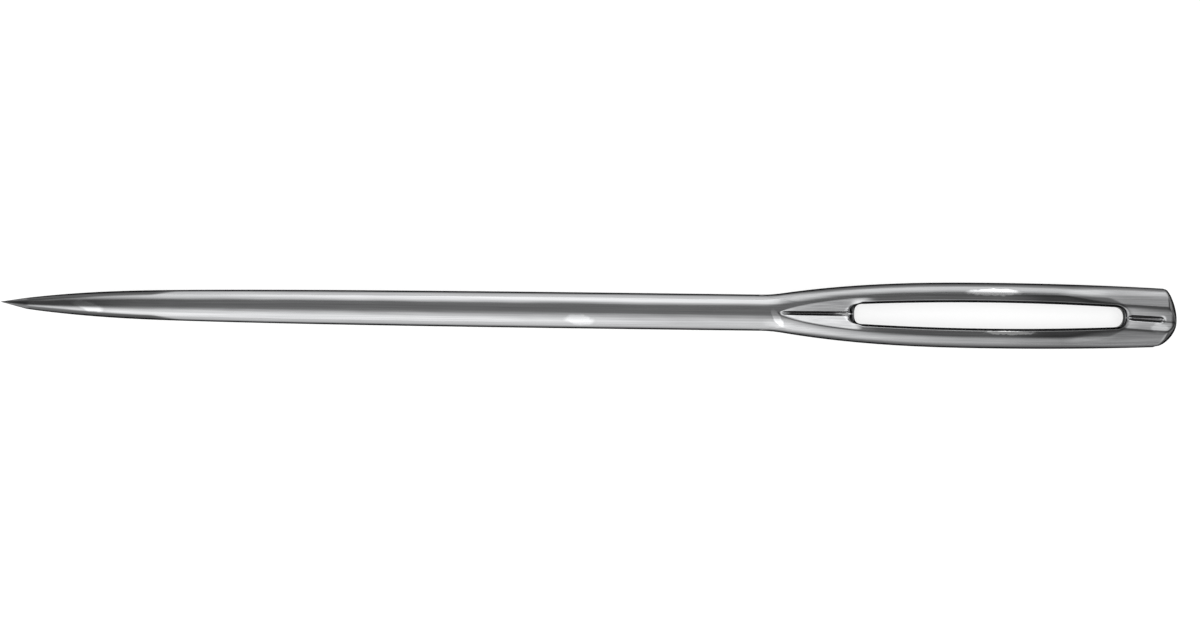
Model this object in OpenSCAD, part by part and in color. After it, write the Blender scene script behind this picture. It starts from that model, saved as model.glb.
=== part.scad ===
// Yarn needle: one piece of polished steel wire with a sharp round point at one
// end and a flattened head with a long eye at the other.
// It lies flat along X with the point at -X. The eye opens along Z, and Z = 0 is
// the surface that the needle rests on. X = 0 is half way along its length.

/* [Wire] */
// Overall length, from the point to the end of the head
needle_l = 70; // [66:0.5:80]
// Diameter of the plain wire where it enters the head
wire_d = 2.16; // [1.9:0.02:2.4]
// Length of plain round wire between the taper and the head
plain_l = 7; // [4:0.5:12]

/* [Point] */
// Length of the round point, from its tip to its shoulder
point_l = 9; // [7:0.25:12]
// Diameter at the shoulder, where the point runs into the slow taper
shoulder_d = 1.755; // [1.5:0.01:1.85]
// Length of the short steep tip that is ground last
tip_l = 1.55; // [1:0.05:2]
// Diameter where the steep tip begins
tip_d = 0.67; // [0.5:0.01:0.8]
// Diameter of the blunted end of the tip
tip_end_d = 0.04; // [0.02:0.01:0.1]
// How far the tip lies to one side of the middle of the wire
tip_offset = 0.08; // [0:0.01:0.12]

/* [Head] */
// Greatest width of the head, across the eye
head_w = 3.91; // [3.6:0.01:4.4]
// Distance of the widest place from the end of the head
widest_from_end = 10.5; // [9:0.25:12]
// Length over which the wire swells to the widest place
swell_l = 13.6; // [12:0.1:15]
// Thickness of the head over the ridges of its rails, at the widest place
head_t = 2.1; // [1.9:0.02:2.3]
// Width of the head close to its end
end_w = 3.4; // [3.1:0.01:3.6]
// Thickness of the head close to its end
end_t = 1.7; // [1.4:0.02:1.9]
// Length over which the end is rounded down
end_round = 0.7; // [0.5:0.05:0.8]
// The same at the corner on the flatter side
end_corner = 0.35; // [0.25:0.05:0.6]
// How far the crown of the end lies to one side of the middle
end_offset = 0.27; // [0:0.01:0.4]
// Radius of the flatter side of the end, seen in plan
end_flat_r = 4.5; // [3:0.25:8]
// Radius of the rounder side of the end, seen in plan
end_full_r = 1.6; // [1.2:0.1:3]

/* [Eye] */
// Length of the eye
eye_l = 16.05; // [12:0.05:17]
// Width of the eye at its middle
eye_w = 1.55; // [1.2:0.01:1.8]
// Width of the eye where its rounded ends begin
eye_end_w = 1.2; // [0.9:0.01:1.4]
// Steel between the eye and the end of the head
eye_from_end = 3.15; // [2.5:0.05:5]
// Length of the rounded ends of the eye
eye_end_l = 0.6; // [0.4:0.05:0.9]
// Rounding of the rim of the eye
rim_r = 0.16; // [0.1:0.01:0.2]
// Rounding of the rim where the gutter runs into the eye
rim_end_r = 0.4; // [0.2:0.02:0.45]

/* [Gutters] */
// Length of the gutter ahead of the eye
gutter_lead = 4.5; // [3.5:0.1:5]
// Width of the gutters at the widest place of the head
gutter_w = 2.54; // [2.3:0.01:2.7]
// Width of the gutters where they run out at the end
gutter_end_w = 1.3; // [1.1:0.01:1.5]
// Steepness of the gutters' walls ahead of the eye, in degrees
gutter_angle = 32; // [28:0.5:34]
// Steepness of the rails' inner faces beside the eye, in degrees
rail_angle = 6; // [3:0.5:10]
// Steepness of the gutters' walls behind the eye, in degrees
land_angle = 24; // [20:0.5:28]
// Width of the crease along their bottoms ahead of the eye
crease_w = 0.26; // [0.2:0.02:0.4]
// Depth of the crease
crease_d = 0.16; // [0.08:0.02:0.2]

/* [Hidden] */

steel = [0.62, 0.63, 0.65];

// Places along the needle, measured from its tip
shoulder_s = point_l;
widest_s = needle_l - widest_from_end;
swell_s = widest_s - swell_l;
eye_end_s = needle_l - eye_from_end;
eye_s = eye_end_s - eye_l;
eye_mid_s = (eye_s + eye_end_s) / 2;
gutter_s = eye_s - gutter_lead;
eye_left_s = eye_s + eye_end_l;
eye_right_s = eye_end_s - eye_end_l;

// How quickly the head swells, and how wide the fillet is that blends the
// swelling into the plain wire. The neck lies just ahead of the fillet.
swell_power = 2.6;
swell_blend = 0.1;
swell_slope = (head_w - wire_d) / 2 * swell_power / swell_l;
neck_clearance = 1.2;
neck_s = swell_s - neck_clearance * swell_blend / swell_slope;
taper_s = neck_s - plain_l;

// Where the curves of the point and of the taper bend most, as shares of their
// lengths
point_bend = 0.44;
taper_bend = 0.25;

// How square the head's section is beside the eye and behind it, how square its
// end is in profile, and how square the two ends of the eye are in plan
squareness = 2.8;
land_squareness = 2.1;
end_power = 3;
eye_squareness = 3;
eye_end_squareness = 2.4;

// The head's skin starts inside the wire, this far back and this far in
neck_overlap = 0.3;
neck_inset = 0.004;
root_s = neck_s - neck_overlap;
neck_d = wire_d - 2 * neck_inset;

// Width of the rounding along the gutters' ridges, beside the eye and at the end
// of the head, and along their bottoms
ridge_soft = 0.05;
ridge_end_soft = 0.12;
bottom_soft = 0.08;

// The gutter's nose in plan: how it curves and how blunt it is, and how soon the
// walls rise clear of the wire ahead of it
nose_power = 2.5;
nose_bluntness = 1.5;
nose_reach = 0.5;

// Places where the gutters' walls begin to lie down at the near end of the eye
// and to rise again at its far end, and the length that each change takes
lie_down_s = eye_s - 0.3;
rise_s = eye_end_s - 1.2;
turn_l = 1.6;

// Length over which the gutters narrow towards the end
narrowing_l = 4;

// Length over which the crease starts and stops
crease_fade_l = 0.8;

// The rim takes no more than this share of the steel's thickness at the eye
rim_depth_share = 0.8;

// Wire's core that reaches into the tip
core_l = 0.25;
core_r = tip_d / 4;

// Fineness of the point's curves and of the head's skin, round the eye and
// across from the eye to the outside
curve_steps = 20;
wire_fn = 96;
rail_steps = 14;
lead_steps = 20;
land_steps = 14;
rim_steps = 3;
bevel_steps = 4;
edge_steps = 8;
// Share of the skin's lines ahead of the eye, and of those behind it, that end on
// the sides of the head, and how far out the bend of the last line lies
lead_side = 0.45;
land_side = 0.4;
land_bend = 0.6;

rest_z = max(wire_d, head_t) / 2;

function clamp01(t) = min(1, max(0, t));
function mix(a, b, t) = a + (b - a) * t;
function smooth01(t) = let (u = clamp01(t)) u * u * (3 - 2 * u);

// The larger of two values, with the corner between them rounded
function soft_max(a, b, width) =
    max(a, b) + pow(max(width - abs(a - b), 0), 2) / (4 * width);

// Point at share t of the way along a curve with one control point
function bend(a, control, b, t) =
    mix(mix(a, control, t), mix(control, b, t), t);

// Outline of the point and the taper, as [place along the needle, radius]. The
// two curves share the taper's slope where they meet at the shoulder.
taper_control = [mix(shoulder_s, taper_s, taper_bend), wire_d / 2];
taper_slope = (wire_d - shoulder_d) / 2 / (taper_control[0] - shoulder_s);
point_control_s = mix(tip_l, shoulder_s, point_bend);
point_control = [
    point_control_s,
    shoulder_d / 2 - taper_slope * (shoulder_s - point_control_s)
];
point_curve = [
    for (i = [0 : curve_steps - 1])
        bend([tip_l, tip_d / 2], point_control, [shoulder_s, shoulder_d / 2], i / curve_steps)
];
taper_curve = [
    for (i = [0 : curve_steps])
        bend([shoulder_s, shoulder_d / 2], taper_control, [taper_s, wire_d / 2], i / curve_steps)
];

// Half the width of the head at a place along it
function head_half_w(s) =
    let (
        ahead = max(0, widest_s - s) / swell_l,
        behind = max(0, s - widest_s) / widest_from_end,
        swell = head_w / 2 - (head_w - neck_d) / 2 * pow(ahead, swell_power)
            - (head_w - end_w) / 2 * pow(behind, 2)
    )
    soft_max(neck_d / 2, swell, swell_blend);

// Height of the rails' ridges over the middle of the head
function ridge_z(s) =
    s < widest_s
        ? mix(neck_d, head_t, smooth01((s - neck_s) / (widest_s - neck_s))) / 2
        : mix(head_t, end_t, pow((s - widest_s) / widest_from_end, 2)) / 2;

// How far a place lies on from the widest place to the end of the eye
function on_behind(s) = smooth01((s - widest_s) / (eye_end_s - widest_s));

// Exponent of the head's section: 2 is round, and more is squarer
function section_power(s) =
    mix(
        2,
        mix(squareness, land_squareness, on_behind(s)),
        smooth01((s - neck_s) / (eye_s - neck_s))
    );

// Height of a rounded section: share is 0 at its middle and 1 at its edge
function section(share, power) =
    pow(max(0, 1 - pow(abs(share), power)), 1 / power);

// Half the width of the gutters. They start at a nose and run out at the end.
function gutter_half_w(s) =
    let (
        ahead = clamp01((widest_s - s) / (widest_s - gutter_s)),
        behind = smooth01((s - eye_end_s + narrowing_l) / narrowing_l)
    )
    s < widest_s
        ? gutter_w / 2 * pow(1 - pow(ahead, nose_power), 1 / nose_bluntness)
        : mix(gutter_w, gutter_end_w, behind) / 2;

// Middle of the gutter, which bears to the crown of the head's end
function gutter_y(s) =
    -end_offset * smooth01((s - eye_right_s) / (needle_l - eye_right_s));

// Rise of the gutters' walls over a millimetre. They lie down beside the eye.
function wall_slope(s) =
    mix(
        mix(tan(gutter_angle), tan(rail_angle), smooth01((s - lie_down_s) / turn_l)),
        tan(land_angle),
        smooth01((s - rise_s) / turn_l)
    );

// Depth of the crease at a distance aside from the gutter's middle. It runs out
// before the eye.
function crease(s, aside) =
    crease_d * smooth01(1 - 2 * abs(aside) / crease_w)
        * smooth01((s - gutter_s) / crease_fade_l)
        * smooth01((eye_s - rim_end_r - s) / crease_fade_l);

// Place of the head's end on a line that lies y to one side of the middle
function end_s(y) =
    needle_l - pow(y - -end_offset, 2) / 2 / (y > -end_offset ? end_flat_r : end_full_r);

// Length over which the end is rounded down at a distance y from the middle
function end_round_at(y) = mix(end_round, end_corner, smooth01(y / (end_w / 2)));

// How far a point lies into the rounding of the end: 0 before it and 1 at the end
function end_share(s, y) = clamp01(1 - (end_s(y) - s) / end_round_at(y));

// Height of the head's upper face over its middle: the lower of its crowned
// outside and the gutter's two walls
function face_z(s, y) =
    let (
        gutter = gutter_half_w(s),
        half_w = head_half_w(s),
        power = section_power(s),
        edge = 1 - pow(abs(y) / half_w, power) - pow(end_share(s, y), end_power),
        crowned = ridge_z(s) / section(gutter / half_w, power) * pow(max(0, edge), 1 / power),
        aside = y - gutter_y(s),
        over_ridge = soft_max(aside, -aside, bottom_soft) - gutter,
        ahead = max(0, gutter_s - s) * nose_reach,
        walls = ridge_z(s) + (over_ridge + ahead) * wall_slope(s) - crease(s, aside)
    )
    -soft_max(-crowned, -walls, mix(ridge_soft, ridge_end_soft, on_behind(s)));

// Half the width of the eye: its long sides bow outwards
function eye_half_w(s) =
    let (t = (s - eye_mid_s) / (eye_l / 2 - eye_end_l))
    mix(eye_w, eye_end_w, t * t) / 2;

// Point on a quarter of a squarish end, where t runs from the side to the middle
function squarish(t, power) =
    [pow(sin(90 * t), 2 / power), pow(cos(90 * t), 2 / power)];

// The ridge beside the eye. It keeps clear of the eye's rim.
function ridge_y(s) = max(gutter_half_w(s), eye_half_w(s) + 2 * rim_r);

// One line of the head's skin in plan runs from the eye's edge over the ridge
// to the outside. Each of these gives its three points for the half at +y, and
// the rounding of the eye's rim there.
function rail_line(t) =
    let (s = mix(eye_left_s, eye_right_s, t))
    [[s, eye_half_w(s)], [s, ridge_y(s)], [s, head_half_w(s)], rim_r];

function lead_line(t) =
    let (
        corner = squarish(t, eye_squareness),
        start = gutter_half_w(eye_left_s) / (gutter_w / 2),
        share = start * (1 - t),
        along = 1 - pow(1 - pow(share, nose_bluntness), 1 / nose_power),
        ridge_s = mix(gutter_s, widest_s, along),
        side_s = mix(eye_left_s, root_s, min(1, t / lead_side)),
        turn = 90 * clamp01((t - lead_side) / (1 - lead_side))
    )
    [
        [eye_left_s - eye_end_l * corner[0], eye_half_w(eye_left_s) * corner[1]],
        [ridge_s, share * gutter_w / 2],
        [side_s, head_half_w(side_s) * cos(turn)],
        mix(rim_r, rim_end_r, smooth01(t))
    ];

// side is 1 at +y and -1 at -y, where the end is rounder
function land_line(t, side) =
    let (
        corner = squarish(t, eye_end_squareness),
        eye_edge = [eye_right_s + eye_end_l * corner[0], eye_half_w(eye_right_s) * corner[1]],
        around = clamp01((t - land_side) / (1 - land_side)),
        edge_y = head_half_w(needle_l) * pow(cos(90 * around), 2 / land_squareness),
        end_edge_s = end_s(side * edge_y)
            - end_round_at(side * edge_y) * (1 - pow(sin(90 * around), 2 / end_power)),
        side_s = mix(eye_right_s, end_edge_s, t / land_side),
        edge = around > 0 ? [end_edge_s, edge_y] : [side_s, head_half_w(side_s)],
        start = (ridge_y(eye_right_s) - eye_half_w(eye_right_s))
            / (head_half_w(eye_right_s) - eye_half_w(eye_right_s))
    )
    [eye_edge, mix(eye_edge, edge, mix(start, land_bend, smooth01(t))), edge, rim_r];

// All the lines, once round the eye from the middle of its end at the wire
half_lines = function (side) concat(
    [for (i = [0 : lead_steps - 1]) lead_line(1 - i / lead_steps)],
    [for (i = [0 : rail_steps - 1]) rail_line(i / rail_steps)],
    [for (i = [0 : land_steps]) land_line(i / land_steps, side)]
);

function flip_y(p) = [p[0], -p[1]];
function mirror_y(line) = [flip_y(line[0]), flip_y(line[1]), flip_y(line[2]), line[3]];
upper_lines = half_lines(1);
lower_lines = [for (line = half_lines(-1)) mirror_y(line)];
count = len(upper_lines);
lines = concat(
    upper_lines,
    [for (i = [count - 2 : -1 : 1]) lower_lines[i]]
);

// Section of the head along one line, as a closed loop of points. They crowd
// together at the rim of the eye and at the rounded edge. A line that ends on the
// wire reaches the wire's own outline.
function loop(line) =
    let (
        bevel_l = norm(line[1] - line[0]),
        rim_w = min(line[3], bevel_l / 2),
        rim = rim_w / bevel_l,
        bevel_shares = concat(
            [for (i = [0 : rim_steps - 1]) rim * (1 - cos(90 * i / rim_steps))],
            [for (i = [0 : bevel_steps - 1]) mix(rim, 1, i / bevel_steps)]
        ),
        at_wire = abs(line[2][1]) < neck_d / 2 && line[2][0] == root_s,
        shares = at_wire
            ? [for (i = [0 : edge_steps - 1]) i / (edge_steps - 1)]
            : [for (i = [0 : edge_steps - 1]) sin(90 * i / edge_steps)],
        top = concat(
            [for (v = bevel_shares) rim_point(mix(line[0], line[1], v), v / rim, rim_w)],
            [for (v = shares) face_point(mix(line[1], line[2], v))]
        ),
        outside = [line[2][0], line[2][1], 0]
    )
    concat(top, [outside], [for (i = [len(top) - 1 : -1 : 0]) flip_z(top[i])]);

function face_point(p) = [p[0], p[1], face_z(p[0], p[1])];
function flip_z(p) = [p[0], p[1], -p[2]];

// Near the eye the face rolls down: share is 0 at the eye and 1 beyond the rim
function rim_point(p, share, rim_w) =
    let (
        z = face_z(p[0], p[1]),
        drop = min(rim_w, rim_depth_share * z) * (1 - section(1 - clamp01(share), 2))
    )
    [p[0], p[1], z - drop];

// Skin over rings of points, each ring and the set of rings being closed
module closed_skin(rings) {
    across = len(rings[0]);
    around = len(rings);
    points = [for (ring = rings) for (p = ring) p];
    faces = [
        for (i = [0 : around - 1], j = [0 : across - 1])
            let (
                a = i * across + j,
                b = ((i + 1) % around) * across + j,
                c = ((i + 1) % around) * across + (j + 1) % across,
                d = i * across + (j + 1) % across
            )
            each [[a, c, b], [a, d, c]]
    ];
    polyhedron(points, faces);
}

module head() {
    closed_skin([for (line = lines) loop(line)]);
}

// The wire's round point, slow taper and plain stretch
module shank() {
    outline = concat(
        [[tip_l - core_l, 0], [tip_l - core_l, core_r], [tip_l, core_r]],
        point_curve,
        taper_curve,
        [[neck_s, wire_d / 2], [neck_s, 0]]
    );
    rotate([0, 90, 0])
        rotate_extrude($fn = wire_fn)
            polygon([for (p = outline) [p[1], p[0]]]);
}

// The steep tip leans to one side over its short length
module tip() {
    lean = tip_offset / tip_l;
    multmatrix([
        [1, 0, 0, 0],
        [-lean, 1, 0, tip_offset],
        [0, 0, 1, 0]
    ])
        rotate([0, 90, 0])
            cylinder(h = tip_l, d1 = tip_end_d, d2 = tip_d, $fn = wire_fn);
}

module needle() {
    color(steel)
        translate([-needle_l / 2, 0, rest_z]) {
            tip();
            shank();
            head();
        }
}

needle();
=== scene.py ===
"""A polished steel yarn needle, lying flat on a pale floor.

One finely divided mesh stands for the CAD node. It is worked out from the same
driving sizes as the CAD part. Sizes are in millimetres, which MM turns into metres,
where no comment names another unit. Places along the needle, s, run from the tip.
"""

import math

import bmesh
import bpy
import numpy as np
from mathutils import Matrix, Vector


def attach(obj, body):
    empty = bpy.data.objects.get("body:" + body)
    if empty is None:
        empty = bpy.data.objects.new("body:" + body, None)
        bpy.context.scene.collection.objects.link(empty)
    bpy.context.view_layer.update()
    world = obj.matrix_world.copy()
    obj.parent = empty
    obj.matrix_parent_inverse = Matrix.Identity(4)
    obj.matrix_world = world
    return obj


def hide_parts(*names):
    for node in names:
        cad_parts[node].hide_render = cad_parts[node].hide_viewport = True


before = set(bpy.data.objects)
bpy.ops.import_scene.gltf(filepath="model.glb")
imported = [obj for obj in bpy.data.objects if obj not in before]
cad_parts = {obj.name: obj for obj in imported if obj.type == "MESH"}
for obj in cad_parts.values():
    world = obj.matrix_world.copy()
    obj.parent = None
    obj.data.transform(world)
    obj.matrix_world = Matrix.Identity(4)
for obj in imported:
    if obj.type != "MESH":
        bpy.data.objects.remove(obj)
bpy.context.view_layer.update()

MM = 0.001

# The wire and its point
needle_l = 70.0
wire_d = 2.16
plain_l = 7.0
point_l = 9.0
shoulder_d = 1.755
tip_l = 1.55
tip_d = 0.67
tip_end_d = 0.04
tip_offset = 0.08

# The head
head_w = 3.91
widest_from_end = 10.5
swell_l = 13.6
head_t = 2.1
end_w = 3.4
end_t = 1.7
end_round = 0.7
end_corner = 0.35
end_offset = 0.27
end_flat_r = 4.5
end_full_r = 1.6

# The eye and the gutters
eye_l = 16.05
eye_w = 1.55
eye_end_w = 1.2
eye_from_end = 3.15
eye_end_l = 0.6
rim_r = 0.16
rim_end_r = 0.4
gutter_lead = 4.5
gutter_w = 2.54
gutter_end_w = 1.3
crease_w = 0.26
crease_d = 0.16
gutter_angle = 32.0
rail_angle = 6.0
land_angle = 24.0

# Places along the needle, and the shape of the head's curves
widest_s = needle_l - widest_from_end
swell_s = widest_s - swell_l
eye_end_s = needle_l - eye_from_end
eye_s = eye_end_s - eye_l
eye_mid_s = (eye_s + eye_end_s) / 2
eye_left_s = eye_s + eye_end_l
eye_right_s = eye_end_s - eye_end_l
gutter_s = eye_s - gutter_lead
swell_power = 2.6
swell_blend = 0.1
swell_slope = (head_w - wire_d) / 2 * swell_power / swell_l
neck_clearance = 1.2
neck_s = swell_s - neck_clearance * swell_blend / swell_slope
neck_overlap = 0.3
root_s = neck_s - neck_overlap
taper_s = neck_s - plain_l
point_bend = 0.44
taper_bend = 0.25
squareness = 2.8
land_squareness = 2.1
end_power = 3
eye_squareness = 3
eye_end_squareness = 2.4
ridge_soft = 0.05
ridge_end_soft = 0.12
bottom_soft = 0.08
nose_power = 2.5
nose_bluntness = 1.5
nose_reach = 0.5
lie_down_s = eye_s - 0.3
rise_s = eye_end_s - 1.2
turn_l = 1.6
narrowing_l = 4
crease_fade_l = 0.8
rim_depth_share = 0.8
land_bend = 0.6
rest_z = max(wire_d, head_t) / 2

# Details that the CAD lacks: an eye rim that falls away more steeply, a crease that
# stops short ahead of the eye, and another one behind the eye, which bears less to
# the crown than the gutter does
rim_fall = 2.2
rim_power = 1.4
crease_stop_l = 0.55
crease_stop_fade_l = 0.25
land_crease_w = 0.4
land_crease_fade_l = 0.3
crease_lean = 0.45

# Painted light and shade: how much brighter or darker each part's colour is made, where
# 1 is the upper face of the wire; higher levels also make the steel a little smoother
outer_painted_level = 0.79
lead_painted_level = 1.2
rail_painted_level = 0.8
land_painted_level = 0.9
crease_painted_shade = 0.9
# Painted shade along the eye's edge and on its rims
eye_edge_painted_shade = 0.44
rim_painted_shade = 0.5
# Painted shade: the flanks are painted darker for dark reflections along the outline
wire_flank_painted_shade = 0.42
head_flank_painted_shade = 0.4
point_flank_painted_shade = 0.23
# Painted shade on the rim of the head's end
end_painted_shade = 0.18
# Painted shade on the ground tip
tip_painted_shade = 0.4

# The share of a surface's normal that points up or down where a flank starts, and
# the range over which the flank's painted shade gives way to the face's level
wire_flank = 0.36
wire_flank_fade = 0.2
head_flank = 0.55
head_flank_fade = 0.3
point_flank = 0.68
point_flank_fade = 0.12
tip_flank = 0.86

# Where the painted light and shade change, over what length or width, and the share
# of the crease's depth at which the crease's painted shade is full
head_fade_l = 5
point_end_s = 10.8
point_fade_l = 2
tip_shade_l = 0.2
tip_fade_l = 0.3
gutter_fade_l = 1.5
gutter_fade_w = 0.1
land_fade_l = 1.0
crease_shade_share = 0.5
end_rim_l = 0.42
end_rim_fade_l = 0.15
corner_rim_l = 0.6
corner_rim_y = -0.5
corner_fade_w = 0.6
eye_edge_s = 59.5
eye_edge_fade_l = 3
eye_edge_past_l = 1
eye_edge_w = 0.48
eye_edge_end_w = 0.2
eye_edge_fade_w = 0.12
eye_edge_turn_l = 1.0

# Fineness of the mesh
dome_rings = 5
tip_rings = 12
point_rings = 34
taper_rings = 70
wire_lines = 40
side_lines = 18
rail_lines = 110
land_lines = 46
rim_steps = 8
bevel_steps = 18
face_steps = 30
wall_steps = 4
ring_gap = 0.4
bevel_crowding = 1.4
eye_edge_points = 120
lead_side = 0.45
land_side = 0.4


def mix(a, b, t):
    return a + (b - a) * t


def clamp01(t):
    return np.clip(t, 0.0, 1.0)


def smooth01(t):
    u = clamp01(t)
    return u * u * (3 - 2 * u)


def soft_max(a, b, width):
    """The larger of two values, with the corner between them rounded."""
    return np.maximum(a, b) + np.maximum(width - np.abs(a - b), 0) ** 2 / (4 * width)


def bend(a, control, b, t):
    """Points at shares t along a curve with one control point."""
    a, control, b = (np.asarray(p, float) for p in (a, control, b))
    t = np.asarray(t, float)[:, None]
    return mix(mix(a, control, t), mix(control, b, t), t)


def section(share, power):
    """Height of a rounded section: share is 0 at its middle and 1 at its edge."""
    return np.maximum(0, 1 - np.abs(share) ** power) ** (1 / power)


def head_half_w(s):
    ahead = np.maximum(0, widest_s - s) / swell_l
    behind = np.maximum(0, s - widest_s) / widest_from_end
    swell = (
        head_w / 2
        - (head_w - wire_d) / 2 * ahead ** swell_power
        - (head_w - end_w) / 2 * behind ** 2
    )
    return soft_max(wire_d / 2, swell, swell_blend)


def ridge_z(s):
    """Height of the rails' ridges over the middle of the head."""
    ahead = mix(wire_d, head_t, smooth01((s - neck_s) / (widest_s - neck_s)))
    behind = mix(head_t, end_t, ((s - widest_s) / widest_from_end) ** 2)
    return np.where(s < widest_s, ahead, behind) / 2


def section_power(s):
    behind = mix(squareness, land_squareness, smooth01((s - widest_s) / (eye_end_s - widest_s)))
    return mix(2, behind, smooth01((s - neck_s) / (eye_s - neck_s)))


def gutter_half_w(s):
    """Half the width of the gutters, which start blunt and run out at the end."""
    to_widest = np.clip((widest_s - s) / (widest_s - gutter_s), 0, 1)
    ahead = gutter_w * (1 - to_widest ** nose_power) ** (1 / nose_bluntness)
    past = smooth01((s - eye_end_s + narrowing_l) / narrowing_l)
    behind = mix(gutter_w, gutter_end_w, past)
    return np.where(s < widest_s, ahead, behind) / 2


def ridge_softness(s):
    return mix(ridge_soft, ridge_end_soft, smooth01((s - widest_s) / (eye_end_s - widest_s)))


def end_s(y):
    """Place of the head's end on a line that lies y to one side of the middle."""
    from_crown = y + end_offset
    return needle_l - from_crown ** 2 / 2 / np.where(from_crown > 0, end_flat_r, end_full_r)


def end_round_at(y):
    """Length over which the end is rounded down: less at its flatter corner."""
    return mix(end_round, end_corner, smooth01(y / (end_w / 2)))


def gutter_y(s):
    """Middle of the gutter, which bears to the crown of the head's end."""
    return -end_offset * smooth01((s - eye_right_s) / (needle_l - eye_right_s))


def wall_slope(s):
    """Steepness of the gutters' walls, which lie nearly flat along the rails."""
    lead, rail, land = (math.tan(math.radians(a)) for a in (gutter_angle, rail_angle, land_angle))
    ahead = mix(lead, rail, smooth01((s - lie_down_s) / turn_l))
    return mix(ahead, land, smooth01((s - rise_s) / turn_l))


def crease_y(s):
    """Middle of the crease, which bears less to the crown than the gutter does."""
    return crease_lean * gutter_y(s)


def crease(s, aside):
    """Depth of the crease along the bottom of the gutters ahead of the eye, and of
    the short one behind it."""
    starts = smooth01((s - gutter_s) / crease_fade_l)
    stops = smooth01((eye_s - rim_end_r - crease_stop_l - s) / crease_stop_fade_l)
    past_eye = smooth01((s - eye_end_s - rim_r) / land_crease_fade_l)
    behind = past_eye * smooth01((needle_l - end_round - s) / land_crease_fade_l)
    present = np.maximum(starts * stops, behind)
    half_w = mix(crease_w, land_crease_w, behind) / 2
    return crease_d * present * smooth01(1 - np.abs(aside) / half_w)


def face_z(s, y):
    """Height of the head's upper face over its middle: the lower of the crowned
    outside and the gutter's two walls."""
    gutter = gutter_half_w(s)
    half_w = head_half_w(s)
    power = section_power(s)
    end_share = clamp01(1 - (end_s(y) - s) / end_round_at(y))
    edge = 1 - (np.abs(y) / half_w) ** power - end_share ** end_power
    crowned = ridge_z(s) / section(gutter / half_w, power) * np.maximum(0, edge) ** (1 / power)
    aside = y - gutter_y(s)
    from_ridge = soft_max(aside, -aside, bottom_soft) - gutter
    ahead = np.maximum(0, gutter_s - s) * nose_reach
    walls = ridge_z(s) + (from_ridge + ahead) * wall_slope(s) - crease(s, y - crease_y(s))
    return -soft_max(-crowned, -walls, ridge_softness(s))


def eye_half_w(s):
    t = (s - eye_mid_s) / (eye_l / 2 - eye_end_l)
    return mix(eye_w, eye_end_w, t * t) / 2


def squarish(t, power):
    """A quarter of a squarish end, where t runs from the side to the middle."""
    turn = np.pi / 2 * t
    return np.sin(turn) ** (2 / power), np.maximum(0, np.cos(turn)) ** (2 / power)


def ridge_y(s):
    """The ridge beside the eye, which keeps clear of the eye's rim."""
    return np.maximum(gutter_half_w(s), eye_half_w(s) + 2 * rim_r)


def stack(s, y):
    """Places along the needle and distances to the side as points in plan."""
    return np.stack(np.broadcast_arrays(s, y), axis=-1)


def rail_lines_at(t):
    s = mix(eye_left_s, eye_right_s, t)
    return stack(s, eye_half_w(s)), stack(s, ridge_y(s)), stack(s, head_half_w(s))


def lead_lines_at(t):
    """Lines ahead of the eye, for t = 0 beside it and t = 1 on the middle."""
    corner_s, corner_y = squarish(t, eye_squareness)
    share = gutter_half_w(eye_left_s) / (gutter_w / 2) * (1 - t)
    ridge_s = gutter_s + (widest_s - gutter_s) * (
        1 - (1 - share ** nose_bluntness) ** (1 / nose_power)
    )
    side_s = mix(eye_left_s, root_s, np.minimum(1, t / lead_side))
    turn = np.pi / 2 * clamp01((t - lead_side) / (1 - lead_side))
    return (
        stack(eye_left_s - eye_end_l * corner_s, eye_half_w(eye_left_s) * corner_y),
        stack(ridge_s, share * gutter_w / 2),
        stack(side_s, head_half_w(side_s) * np.cos(turn)),
    )


def land_lines_at(t, side):
    """Lines behind the eye; side is 1 at +y and -1 at -y, where the end is rounder."""
    corner_s, corner_y = squarish(t, eye_end_squareness)
    eye_edge = stack(eye_right_s + eye_end_l * corner_s, eye_half_w(eye_right_s) * corner_y)
    around = clamp01((t - land_side) / (1 - land_side))
    turn = np.pi / 2 * around
    edge_y = head_half_w(needle_l) * np.maximum(0, np.cos(turn)) ** (2 / land_squareness)
    rounding = end_round_at(side * edge_y) * (1 - np.sin(turn) ** (2 / end_power))
    end_edge_s = end_s(side * edge_y) - rounding
    corner = side * head_half_w(needle_l)
    side_s = mix(eye_right_s, end_s(corner) - end_round_at(corner), t / land_side)
    on_end = around > 0
    edge = stack(
        np.where(on_end, end_edge_s, side_s), np.where(on_end, edge_y, head_half_w(side_s))
    )
    start = (ridge_y(eye_right_s) - eye_half_w(eye_right_s)) / (
        head_half_w(eye_right_s) - eye_half_w(eye_right_s)
    )
    return eye_edge, mix(eye_edge, edge, mix(start, land_bend, smooth01(t))[:, None]), edge


def half_lines(side):
    """All lines of one half, from the middle ahead of the eye to the middle behind."""
    wire_t = np.linspace(1, lead_side, wire_lines, endpoint=False)
    side_t = np.linspace(lead_side, 0, side_lines, endpoint=False)
    groups = [
        lead_lines_at(np.concatenate([wire_t, side_t])),
        rail_lines_at(np.linspace(0, 1, rail_lines, endpoint=False)),
        land_lines_at(np.linspace(0, 1, land_lines + 1), side),
    ]
    eye, ridge, edge = (np.concatenate(parts) for parts in zip(*groups))
    flip = np.array([1, side])
    around = np.concatenate([wire_t, side_t, np.zeros(rail_lines + land_lines + 1)])
    rim = mix(rim_r, rim_end_r, smooth01(around))
    return eye * flip, ridge * flip, edge * flip, rim


def face_point(p):
    return np.concatenate([p, face_z(p[..., 0], p[..., 1])[..., None]], axis=-1)


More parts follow.
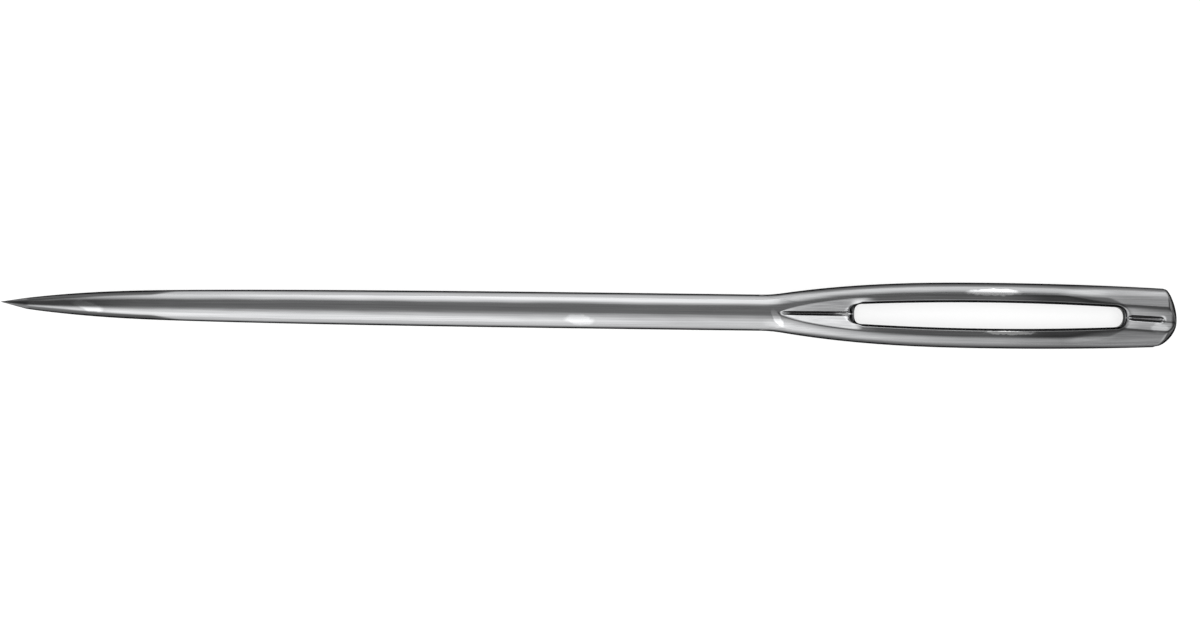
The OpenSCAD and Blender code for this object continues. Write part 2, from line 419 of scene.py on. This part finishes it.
def head_grid():
    """The head's skin as one row of points for each line, over the top, round the
    outside, back below and down the wall of the eye."""
    upper, lower = half_lines(1), half_lines(-1)
    eye, ridge, edge, rim_w = (
        np.concatenate([u, l[-2:0:-1]]) for u, l in zip(upper, lower)
    )
    bevel_l = np.linalg.norm(ridge - eye, axis=1)
    rim_w = np.minimum(rim_w, bevel_l / 2)
    rim = rim_w / bevel_l
    roll = 1 - np.cos(np.pi / 2 * np.arange(rim_steps) / rim_steps)
    slope = 1 - (1 - np.arange(bevel_steps) / bevel_steps) ** bevel_crowding
    bevel = np.concatenate([rim[:, None] * roll, mix(rim[:, None], 1, slope)], axis=1)
    inner = face_point(mix(eye[:, None], ridge[:, None], bevel[..., None]))
    rolled = 1 - section(1 - clamp01(bevel / rim[:, None]), rim_power)
    rim_depth = np.minimum(rim_fall * rim_w[:, None], rim_depth_share * inner[..., 2])
    inner[..., 2] -= rim_depth * rolled

    on_wire = wire_rows(len(eye))
    steps = np.arange(face_steps)
    crowded = np.broadcast_to(np.sin(np.pi / 2 * steps / face_steps), (len(eye), face_steps))
    even = steps / (face_steps - 1)
    shares = np.where(on_wire[:, None], even, crowded)
    outer = face_point(mix(ridge[:, None], edge[:, None], shares[..., None]))

    top = np.concatenate([inner, outer], axis=1)
    bottom = top[:, ::-1] * [1, 1, -1]
    outside = np.concatenate([edge, np.zeros((len(edge), 1))], axis=1)[:, None]
    down = np.arange(1, wall_steps) / wall_steps
    wall = mix(bottom[:, -1:], top[:, :1], down[:, None])
    return top, outside, bottom, wall


def wire_rows(count):
    """Which lines end on the wire: those round the middle line ahead of the eye."""
    index = np.arange(count)
    return (index < wire_lines) | (index > count - wire_lines)


def wire_outline():
    """Places and radii of the rings from the tip to the head."""
    taper_control_s = mix(point_l, taper_s, taper_bend)
    taper_slope = (wire_d - shoulder_d) / 2 / (taper_control_s - point_l)
    point_control_s = mix(tip_l, point_l, point_bend)
    point_control_r = shoulder_d / 2 - taper_slope * (point_l - point_control_s)
    end_r = tip_end_d / 2
    around = np.pi / 2 * np.arange(1, dome_rings) / dome_rings
    dome = np.stack([end_r * (1 - np.cos(around)), end_r * np.sin(around)], axis=1)
    up_tip = np.linspace(0, 1, tip_rings, endpoint=False)[:, None]
    tip = mix(np.array([end_r, end_r]), np.array([tip_l, tip_d / 2]), up_tip)
    point = bend(
        [tip_l, tip_d / 2], [point_control_s, point_control_r], [point_l, shoulder_d / 2],
        np.arange(point_rings) / point_rings,
    )
    taper = bend(
        [point_l, shoulder_d / 2], [taper_control_s, wire_d / 2], [taper_s, wire_d / 2],
        np.arange(taper_rings) / taper_rings,
    )
    plain_s = np.arange(taper_s, root_s - ring_gap / 2, ring_gap)
    plain = np.stack([plain_s, np.full_like(plain_s, wire_d / 2)], axis=1)
    return np.concatenate([dome, tip, point, taper, plain])


def wire_rings(count):
    """Rings of points along the wire, each of count points. Over the ground tip they
    lean to one side."""
    outline = wire_outline()
    turn = 2 * np.pi * np.arange(count) / count
    ring_s, ring_r = outline[:, :1], outline[:, 1:]
    lean = tip_offset * np.maximum(0, 1 - ring_s / tip_l)
    along = np.broadcast_to(ring_s, (len(outline), count))
    return np.stack([along, ring_r * np.cos(turn) + lean, ring_r * np.sin(turn)], axis=-1)


def numbered(grid, first):
    """The numbers of a grid's points, which count up from the first one."""
    return first + np.arange(grid.shape[0] * grid.shape[1]).reshape(grid.shape[:2])


def four_sided(*corners):
    """Faces from grids of point numbers, one grid for each of their corners."""
    return np.stack(corners, axis=-1).reshape(-1, 4).tolist()


def grid_faces(grid):
    """Faces between each line of a grid and the next, and from the last to the first."""
    following = np.roll(grid, -1, axis=0)
    return four_sided(grid[:, :-1], following[:, :-1], following[:, 1:], grid[:, 1:])


def ring_faces(rings):
    """Faces between each ring and the next."""
    turned = np.roll(rings, -1, axis=1)
    return four_sided(rings[:-1], rings[1:], turned[1:], turned[:-1])


def skin_faces(top, outside, bottom, wall):
    """Faces of the head's skin, from the numbers of its points. The lines that end on
    the wire leave out the point on the outside."""
    on_wire = wire_rows(len(top))[:, None]
    over = np.concatenate([top, np.where(on_wire, top[:, -1:], outside)], axis=1)
    under = np.concatenate(
        [np.where(on_wire, bottom[:, :1], outside), bottom, wall, top[:, :1]], axis=1
    )
    return grid_faces(over) + grid_faces(under)


def skin_ring(top, outside, bottom):
    """The ring of point numbers in which the head's skin meets the wire."""
    lines = len(top)
    ahead = list(range(wire_lines - 1, -1, -1)) + list(range(lines - 1, lines - wire_lines, -1))
    return (
        [outside[wire_lines, 0]]
        + [top[i, -1] for i in ahead]
        + [outside[lines - wire_lines, 0]]
        + [bottom[i, 0] for i in reversed(ahead)]
    )


def drop_doubled_corners(faces):
    """The faces without corners that repeat the one before, or without the whole face
    where fewer than three are left."""
    clean = []
    for face in faces:
        corners = [v for k, v in enumerate(face) if v != face[k - 1]]
        if len(corners) > 2:
            clean.append(corners)
    return clean


def needle_shape():
    """Points and faces of the whole needle: the head's skin, the wire's rings, which
    end in the skin's own ring, and the tip."""
    skin = head_grid()
    firsts = np.cumsum([0] + [grid.shape[0] * grid.shape[1] for grid in skin])
    top, outside, bottom, wall = (numbered(grid, first) for grid, first in zip(skin, firsts))
    joint = skin_ring(top, outside, bottom)
    rings = wire_rings(len(joint))
    wire = np.concatenate([numbered(rings, firsts[-1]), [joint]])
    points = np.concatenate([grid.reshape(-1, 3) for grid in [*skin, rings]] + [[[0, tip_offset, 0]]])
    tip = len(points) - 1
    faces = skin_faces(top, outside, bottom, wall) + ring_faces(wire)
    faces += [[tip, i, j] for i, j in zip(wire[0], np.roll(wire[0], -1))]
    faces = drop_doubled_corners(faces)
    used = sorted({v for face in faces for v in face})
    renumber = {v: k for k, v in enumerate(used)}
    return points[used], [[renumber[v] for v in face] for face in faces]


def make_piece():
    """The piece that stands for the CAD's needle, placed in the CAD's frame."""
    points, faces = needle_shape()
    placed = (points + [-needle_l / 2, 0, rest_z]) * MM
    mesh = bpy.data.meshes.new("yarn_needle")
    mesh.from_pydata(placed.tolist(), [], faces)
    mesh.validate()
    piece = bpy.data.objects.new("yarn_needle", mesh)
    bpy.context.scene.collection.objects.link(piece)
    orient_outwards(mesh)
    mark_painted_shade(mesh, points)
    return piece


def on_head(s):
    """0 on the wire and 1 on the head."""
    return smooth01((s - neck_s) / head_fade_l)


def in_gutter(s, y):
    """1 in the gutters and 0 outside them."""
    within = gutter_half_w(s) - np.abs(y - gutter_y(s))
    return smooth01(within / gutter_fade_w) * (s > gutter_s)


def eye_edge(side):
    """Points of one half of the eye's edge, beside the rails and behind them."""
    share = np.linspace(0, 1, eye_edge_points)
    rail_edge = rail_lines_at(share)[0]
    land_edge = land_lines_at(share, side)[0]
    return np.concatenate([rail_edge, land_edge]) * [1, side]


def around_eye(s, y):
    """How near a place is to the right end of the eye, where a band of painted shade
    lies along the eye's edge: 1 is beside the edge."""
    edge = np.concatenate([eye_edge(1), eye_edge(-1)])
    near = (s > eye_edge_s) & (s < eye_end_s + eye_edge_past_l)
    nearness = np.zeros(len(s))
    gaps = np.hypot(s[near, None] - edge[:, 0], y[near, None] - edge[:, 1]).min(axis=1)
    on_end = smooth01((s[near] - eye_right_s + eye_edge_turn_l / 2) / eye_edge_turn_l)
    width = mix(eye_edge_w, eye_edge_end_w, on_end)
    nearness[near] = 1 - smooth01((gaps - width) / eye_edge_fade_w)
    return nearness * smooth01((s - eye_edge_s) / eye_edge_fade_l)


def painted_face_level(s, y, near_eye):
    """Painted light and shade on the faces. The wire and the gutters are painted bright,
    the gutter ahead of the eye brightest, and the head's outside, the crease and the eye's
    edge are painted darker."""
    beside_eye = smooth01((s - eye_s) / gutter_fade_l) * smooth01((eye_end_s - s) / gutter_fade_l)
    behind_eye = smooth01((s - eye_end_s) / land_fade_l)
    # Painted light and shade on each part of the head's faces
    gutters = mix(mix(lead_painted_level, rail_painted_level, beside_eye), land_painted_level, behind_eye)
    face = mix(1, mix(outer_painted_level, gutters, in_gutter(s, y)), on_head(s))
    # Painted shade in the crease and along the eye's edge
    in_crease = smooth01(crease(s, y - crease_y(s)) / (crease_shade_share * crease_d))
    return face * mix(1, eye_edge_painted_shade, near_eye) * mix(1, crease_painted_shade, in_crease)


def painted_edge_shade(s, y, near_eye, upright):
    """Painted shade: how much darker than its face each place is painted, where steep
    surfaces stand in for dark reflections: the flanks, the eye's rims, the rim of the
    head's end and the ground tip."""
    on_point = smooth01((point_end_s - s) / point_fade_l)
    on_tip = smooth01((point_l - s) / point_l)
    behind_point = mix(wire_flank, head_flank, on_head(s))
    start = mix(behind_point, mix(point_flank, tip_flank, on_tip), on_point)
    fade = mix(mix(wire_flank_fade, head_flank_fade, on_head(s)), point_flank_fade, on_point)
    steep = 1 - smooth01((upright - start) / fade)
    outside = mix(mix(wire_flank_painted_shade, head_flank_painted_shade, on_head(s)), point_flank_painted_shade, on_point)
    # Painted shade on the steep flanks and on the eye's rims
    flank = mix(1, mix(outside, mix(rim_painted_shade, 1, near_eye), in_gutter(s, y)), steep)
    # Painted shade along the rim of the head's end
    rim_l = mix(end_rim_l, corner_rim_l, smooth01((corner_rim_y - y) / corner_fade_w))
    flank = mix(flank, end_painted_shade, smooth01((s - end_s(y) + rim_l) / end_rim_fade_l))
    # Painted shade on the ground tip
    return mix(flank, tip_painted_shade, smooth01((tip_l + tip_shade_l - s) / tip_fade_l))


def mark_painted_shade(mesh, points):
    """Keep each place's painted light and shade as an attribute, which the steel reads."""
    normals = np.zeros(len(points) * 3)
    mesh.vertices.foreach_get("normal", normals)
    upright = np.abs(normals[2::3])
    s, y = points[:, 0], points[:, 1]
    near_eye = around_eye(s, y)
    # Painted light and shade, kept as an attribute that also makes the steel smoother
    painted_shade_and_polish = painted_face_level(s, y, near_eye) * painted_edge_shade(s, y, near_eye, upright)
    mesh.attributes.new("painted_shade_and_polish", "FLOAT", "POINT").data.foreach_set("value", painted_shade_and_polish)


def orient_outwards(mesh):
    """Turn all faces outwards and shade them smooth."""
    shell = bmesh.new()
    shell.from_mesh(mesh)
    bmesh.ops.recalc_face_normals(shell, faces=shell.faces)
    if shell.calc_volume(signed=True) < 0:
        bmesh.ops.reverse_faces(shell, faces=shell.faces)
    for face in shell.faces:
        face.smooth = True
    shell.to_mesh(mesh)
    shell.free()


def feed(tree, socket, value):
    """Set a node's input to a value, or link it to another node's output."""
    if isinstance(value, bpy.types.NodeSocket):
        tree.links.new(value, socket)
    else:
        socket.default_value = value


def node(tree, kind, **inputs):
    """A new node, whose inputs are fed by name with _ for a space."""
    made = tree.nodes.new(kind)
    for name, value in inputs.items():
        feed(tree, made.inputs[name.replace("_", " ")], value)
    return made


def math_node(tree, operation, *values):
    """The result of a sum on values or other nodes' outputs."""
    made = tree.nodes.new("ShaderNodeMath")
    made.operation = operation
    for socket, value in zip(made.inputs, values):
        feed(tree, socket, value)
    return made.outputs[0]


def blend_node(tree, low, high, value, start, end):
    """A value that goes from low to high as another one goes from start to end."""
    made = node(
        tree, "ShaderNodeMapRange", Value=value, From_Min=start, From_Max=end, To_Min=low, To_Max=high
    )
    made.interpolation_type = "SMOOTHSTEP"
    return made.outputs[0]


def band_node(tree, value, start, full, still_full, end):
    """1 where a value lies from full to still_full, down to 0 at start and end."""
    rises = blend_node(tree, 0.0, 1.0, value, start, full)
    falls = blend_node(tree, 1.0, 0.0, value, still_full, end)
    return math_node(tree, "MULTIPLY", rises, falls)


def ramp_node(tree, value, stops, low, high):
    """Levels between stops, given as (value, level), for values from low to high."""
    ramp = tree.nodes.new("ShaderNodeValToRGB")
    share = node(tree, "ShaderNodeMapRange", Value=value, From_Min=low, From_Max=high)
    tree.links.new(share.outputs[0], ramp.inputs["Fac"])
    made = ramp.color_ramp.elements
    while len(made) < len(stops):
        made.new(0.5)
    for stop, (place, level) in zip(made, stops):
        stop.position = (place - low) / (high - low)
        stop.color = (level, level, level, 1)
    return ramp.outputs["Color"]


def noise_node(tree, place, scales, **inputs):
    """Noise with its own fineness along each axis, in waves per metre."""
    stretched = node(tree, "ShaderNodeMapping", Vector=place, Scale=scales)
    made = node(tree, "ShaderNodeTexNoise", Vector=stretched.outputs[0], Scale=1.0, **inputs)
    return made.outputs["Fac"]


# The steel: streaks along the needle and soft waves, the tones and the roughness of
# the streaks, how much smoother the painted light and shade attribute makes it, and its relief
streak_scales = (120, 9000, 9000)
wave_scales = (180, 600, 600)
dark_at = 0.3
dark_tone = (0.38, 0.383, 0.39, 1)
light_at = 0.7
light_tone = (0.51, 0.513, 0.52, 1)
least_roughness = 0.20
most_roughness = 0.27
polish_smoothing = 0.10
streak_relief = 0.04
relief_strength = 0.6
relief_depth = 0.06

# Painted highlights: small glints painted brighter into the steel's colour: their middles
# (place from the tip and distance to the side), half sizes along and across, angles in
# degrees and strength. They fade between two shares of their size, and their edges are ragged
spot_full = 0.75
spot_gone = 1.25
ragged_l = 0.25
ragged_scale = 2500.0
# Painted highlights
painted_glint_spots = [
    (34.45, -0.57, 0.85, 0.30, -5, 0.4),
    (5.2, -0.10, 0.95, 0.25, -14, 0.6),
    (59.0, 1.37, 1.5, 0.20, 0, 1.3),
    (60.0, -1.02, 1.4, 0.1, 0, 1.8),
    (68.9, -0.62, 0.5, 0.28, 0, 0.5),
    (46.2, -0.31, 0.55, 0.2, -54, 0.7),
]


def painted_glints(tree, place):
    """How much brighter the steel's colour is painted at the glints, on its upper side."""
    ragged = node(tree, "ShaderNodeTexNoise", Vector=place, Scale=ragged_scale, Detail=2.0)
    shift = tree.nodes.new("ShaderNodeVectorMath")
    shift.operation = "MULTIPLY_ADD"
    tree.links.new(ragged.outputs["Color"], shift.inputs[0])
    shift.inputs[1].default_value = (ragged_l * MM,) * 3
    tree.links.new(place, shift.inputs[2])
    total = 0.0
    for s, y, half_l, half_w, angle, strength in painted_glint_spots:
        middle_x = (s - needle_l / 2 + ragged_l / 2) * MM
        middle_y = (y + ragged_l / 2) * MM
        near = node(
            tree, "ShaderNodeMapping", Vector=shift.outputs[0],
            Location=(middle_x, middle_y, 2 * rest_z * MM),
            Rotation=(0, 0, math.radians(angle)),
            Scale=(half_l * MM, half_w * MM, rest_z * MM),
        )
        near.vector_type = "TEXTURE"
        distance = tree.nodes.new("ShaderNodeVectorMath")
        distance.operation = "LENGTH"
        tree.links.new(near.outputs[0], distance.inputs[0])
        spot = blend_node(tree, strength, 0.0, distance.outputs["Value"], spot_full, spot_gone)
        total = math_node(tree, "ADD", spot, total)
    return total


def steel_painted_shade_and_glints():
    """Steel with fine streaks along the needle, whose colour is as bright as the painted
    light and shade attribute and the painted glints make it."""
    material = bpy.data.materials.new("steel_painted_shade_and_glints")
    material.use_nodes = True
    tree = material.node_tree
    shader = tree.nodes["Principled BSDF"]
    place = tree.nodes.new("ShaderNodeTexCoord").outputs["Object"]

    streaks = noise_node(tree, place, streak_scales, Detail=4.0, Roughness=0.6)
    waves = noise_node(tree, place, wave_scales, Detail=2.0)

    tone = tree.nodes.new("ShaderNodeValToRGB")
    dark, light = tone.color_ramp.elements
    dark.position = dark_at
    dark.color = dark_tone
    light.position = light_at
    light.color = light_tone
    tree.links.new(streaks, tone.inputs["Fac"])
    painted_shade_and_polish = tree.nodes.new("ShaderNodeAttribute")
    painted_shade_and_polish.attribute_name = "painted_shade_and_polish"
    # The colour is scaled by the painted light and shade and the painted glints
    painted_light_and_shade = math_node(tree, "ADD", painted_shade_and_polish.outputs["Fac"], painted_glints(tree, place))
    painted_tone = tree.nodes.new("ShaderNodeVectorMath")
    painted_tone.operation = "SCALE"
    tree.links.new(tone.outputs["Color"], painted_tone.inputs[0])
    tree.links.new(painted_light_and_shade, painted_tone.inputs["Scale"])
    tree.links.new(painted_tone.outputs[0], shader.inputs["Base Color"])

    rough = node(
        tree, "ShaderNodeMapRange", Value=streaks, To_Min=least_roughness, To_Max=most_roughness
    )
    smoothed = math_node(tree, "MULTIPLY", painted_shade_and_polish.outputs["Fac"], -polish_smoothing)
    roughness = math_node(tree, "ADD", rough.outputs[0], smoothed)
    tree.links.new(roughness, shader.inputs["Roughness"])

    height = math_node(tree, "ADD", math_node(tree, "MULTIPLY", streaks, streak_relief), waves)
    bump = node(
        tree, "ShaderNodeBump", Height=height, Strength=relief_strength, Distance=relief_depth * MM
    )
    tree.links.new(bump.outputs["Normal"], shader.inputs["Normal"])

    shader.inputs["Metallic"].default_value = 1.0
    shader.inputs["Specular Tint"].default_value = (0.0, 0.0, 0.0, 1)
    return material


# The floor: half its side in metres, its grey, its roughness and its glow
floor_half = 3.0
floor_grey = 0.4
floor_roughness = 0.9
floor_glow = 0.68


def make_floor():
    """The pale floor, whose glow only the camera and reflections see."""
    mesh = bpy.data.meshes.new("floor")
    corners = [(x * floor_half, y * floor_half, 0) for x, y in ((-1, -1), (1, -1), (1, 1), (-1, 1))]
    mesh.from_pydata(corners, [], [(0, 1, 2, 3)])
    floor = bpy.data.objects.new("floor", mesh)
    bpy.context.scene.collection.objects.link(floor)
    material = bpy.data.materials.new("pale_floor")
    material.use_nodes = True
    tree = material.node_tree
    shader = tree.nodes["Principled BSDF"]
    shader.inputs["Base Color"].default_value = (floor_grey, floor_grey, floor_grey, 1)
    shader.inputs["Roughness"].default_value = floor_roughness
    shader.inputs["Specular IOR Level"].default_value = 0.0
    path = tree.nodes.new("ShaderNodeLightPath")
    seen = math_node(tree, "MAXIMUM", path.outputs["Is Camera Ray"], path.outputs["Is Glossy Ray"])
    seen = math_node(tree, "MAXIMUM", seen, path.outputs["Is Transmission Ray"])
    shader.inputs["Emission Color"].default_value = (1, 1, 1, 1)
    glow = math_node(tree, "MULTIPLY", seen, floor_glow)
    tree.links.new(glow, shader.inputs["Emission Strength"])
    mesh.materials.append(material)
    return floor


# Radiance of the studio by roll angle round the needle's length, in degrees from
# straight overhead towards +Y: a soft light on each side and a dim ceiling
studio = [
    (-180, 0.2), (-90, 1.75), (-60, 1.8), (-38, 1.2), (-14, 0.35), (-4, 0.28), (42, 0.28),
    (60, 1.5), (72, 1.9), (90, 2.1), (115, 2.1), (180, 0.2),
]
# How the light at -Y, the ceiling and the light at +Y change along the needle's
# length, from -1 straight towards the point to 1 straight towards the eye
far_light = [
    (-1, 1.3), (-0.7, 1.0), (-0.55, 0.5), (-0.4, 0.8), (-0.25, 0.95), (-0.05, 1.0), (0.08, 0.58),
    (0.16, 0.3), (0.3, 0.6), (0.42, 1.1), (0.58, 0.3), (0.7, 1.0), (1, 1.3),
]
ceiling = [
    (-1, 4.0), (-0.7, 2.5), (-0.55, 0.3), (-0.25, 0.35), (-0.1, 1.0), (0.05, 1.0), (0.12, 0.7),
    (0.3, 0.45), (0.55, 0.3), (0.7, 2.5), (1, 4.0),
]
near_light = [
    (-1, 1.3), (-0.7, 1.0), (-0.55, 0.2), (-0.25, 0.33), (-0.1, 0.8), (-0.04, 1.0), (0.05, 1.0),
    (0.15, 0.75), (0.3, 1.15), (0.45, 1.2), (0.58, 0.4), (0.7, 1.0), (1, 1.3),
]
# The roll angles over which the light at -Y gives way to the ceiling, and the
# ceiling to the light at +Y
ceiling_starts = (-40, -15)
ceiling_ends = (40, 60)
# A grey card beside the light at +Y, as a band of roll angles and of places along
# the needle's length: each gives where it starts, is full, is still full and ends
card_rolls = (12, 24, 50, 62)
card_places = (0.10, 0.15, 0.3, 0.4)
card_level = 0.85


def make_studio():
    """Light from all round, by the direction that it comes from."""
    world = bpy.data.worlds.new("studio")
    bpy.context.scene.world = world
    world.use_nodes = True
    tree = world.node_tree
    background = tree.nodes["Background"]
    outwards = tree.nodes.new("ShaderNodeTexCoord").outputs["Generated"]
    direction = node(tree, "ShaderNodeSeparateXYZ", Vector=outwards)
    roll = math_node(tree, "ARCTAN2", direction.outputs["Y"], direction.outputs["Z"])
    roll = math_node(tree, "DEGREES", roll)
    along = direction.outputs["X"]
    far, middle, near = (
        ramp_node(tree, along, stops, -1, 1) for stops in (far_light, ceiling, near_light)
    )
    lengthways = blend_node(tree, far, middle, roll, *ceiling_starts)
    lengthways = blend_node(tree, lengthways, near, roll, *ceiling_ends)
    level = math_node(tree, "MULTIPLY", ramp_node(tree, roll, studio, -180, 180), lengthways)
    card = math_node(
        tree, "MULTIPLY", band_node(tree, roll, *card_rolls), band_node(tree, along, *card_places)
    )
    level = math_node(tree, "MAXIMUM", level, math_node(tree, "MULTIPLY", card, card_level))
    tree.links.new(level, background.inputs["Strength"])
    background.inputs["Color"].default_value = (1, 1, 1, 1)


# The lamp's strength, and how wide it is in degrees
lamp_energy = 2.0
lamp_angle = 50


def make_lamp():
    """A broad lamp overhead, which lights the floor and isn't seen in the steel."""
    data = bpy.data.lights.new("overhead", "SUN")
    data.energy = lamp_energy
    data.angle = math.radians(lamp_angle)
    lamp = bpy.data.objects.new("overhead", data)
    lamp.visible_glossy = False
    bpy.context.scene.collection.objects.link(lamp)


# The photograph's size and the needle's two ends in it, in pixels
photo_w = 1200
photo_h = 630
photo_tip = (1.0, 303.0)
photo_end = (1176.5, 318.0)
# The camera's lens and sensor in millimetres, and the range that it sees in metres
lens = 135
sensor_w = 36
nearest = 0.01
farthest = 20


def make_camera():
    """The camera looks straight down, and the needle lies across the picture as it
    does across the photograph."""
    tip, end = Vector(photo_tip), Vector(photo_end)
    mm_per_pixel = needle_l / (end - tip).length
    tilt = math.atan2(end.y - tip.y, end.x - tip.x)
    across = Vector((math.cos(tilt), math.sin(tilt)))
    middle = (tip + end) / 2
    offset = Vector((photo_w / 2, photo_h / 2)) - middle
    along = offset.dot(across) * mm_per_pixel
    aside = -(offset.y * across.x - offset.x * across.y) * mm_per_pixel

    data = bpy.data.cameras.new("camera")
    data.lens = lens
    data.sensor_width = sensor_w
    distance = photo_w * mm_per_pixel * lens / sensor_w
    camera = bpy.data.objects.new("camera", data)
    bpy.context.scene.collection.objects.link(camera)
    target = Vector((along, aside, rest_z)) * MM
    camera.matrix_world = (
        Matrix.Translation(target)
        @ Matrix.Rotation(tilt, 4, "Z")
        @ Matrix.Translation((0, 0, distance * MM))
    )
    data.clip_start = nearest
    data.clip_end = farthest
    bpy.context.scene.camera = camera


bpy.context.scene.view_settings.view_transform = "Standard"
needle = make_piece()
needle.data.materials.append(steel_painted_shade_and_glints())
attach(needle, "root")
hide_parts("needle")
make_floor()
make_studio()
make_lamp()
make_camera()
